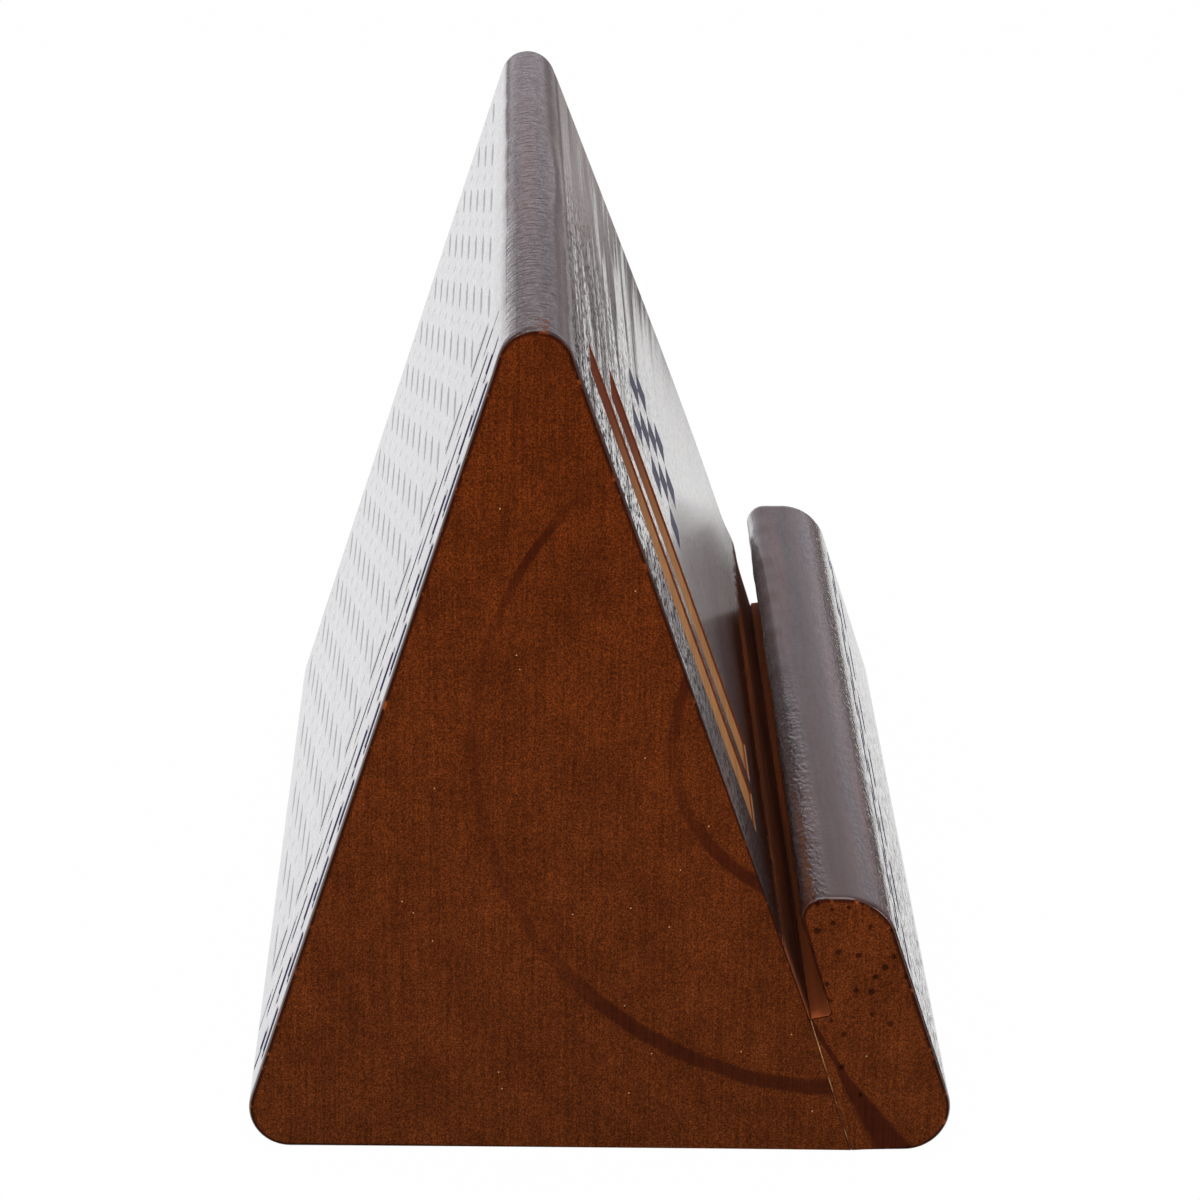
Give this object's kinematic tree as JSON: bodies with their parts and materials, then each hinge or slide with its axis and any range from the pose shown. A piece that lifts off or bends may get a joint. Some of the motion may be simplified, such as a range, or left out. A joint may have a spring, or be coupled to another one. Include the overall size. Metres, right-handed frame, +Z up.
{
  "type": "menu holder",
  "caption": "Free-standing wooden menu holder: a leaning wedge block with a rebated front rail glued along its foot, leaving a narrow slot that grips the lower edge of a card.",
  "frame": {"origin": "middle of the base, on the surface that the holder stands on", "axes": "+X from the back towards the card slot and its rail, +Y along the length, +Z up"},
  "size_m": [0.0598, 0.11, 0.0723],
  "materials": {
    "block_wood": "dark walnut stain under gloss lacquer, end grain sanded matt, long faces engraved",
    "rail_wood": "dark walnut stain under gloss lacquer, open pores on the sawn ends",
    "glue": "dried wood glue, pale tan"
  },
  "bodies": {
    "root": {"wedge_block": "block_wood", "front_rail": "rail_wood", "glue_film": "glue"}
  },
  "joints": []
}
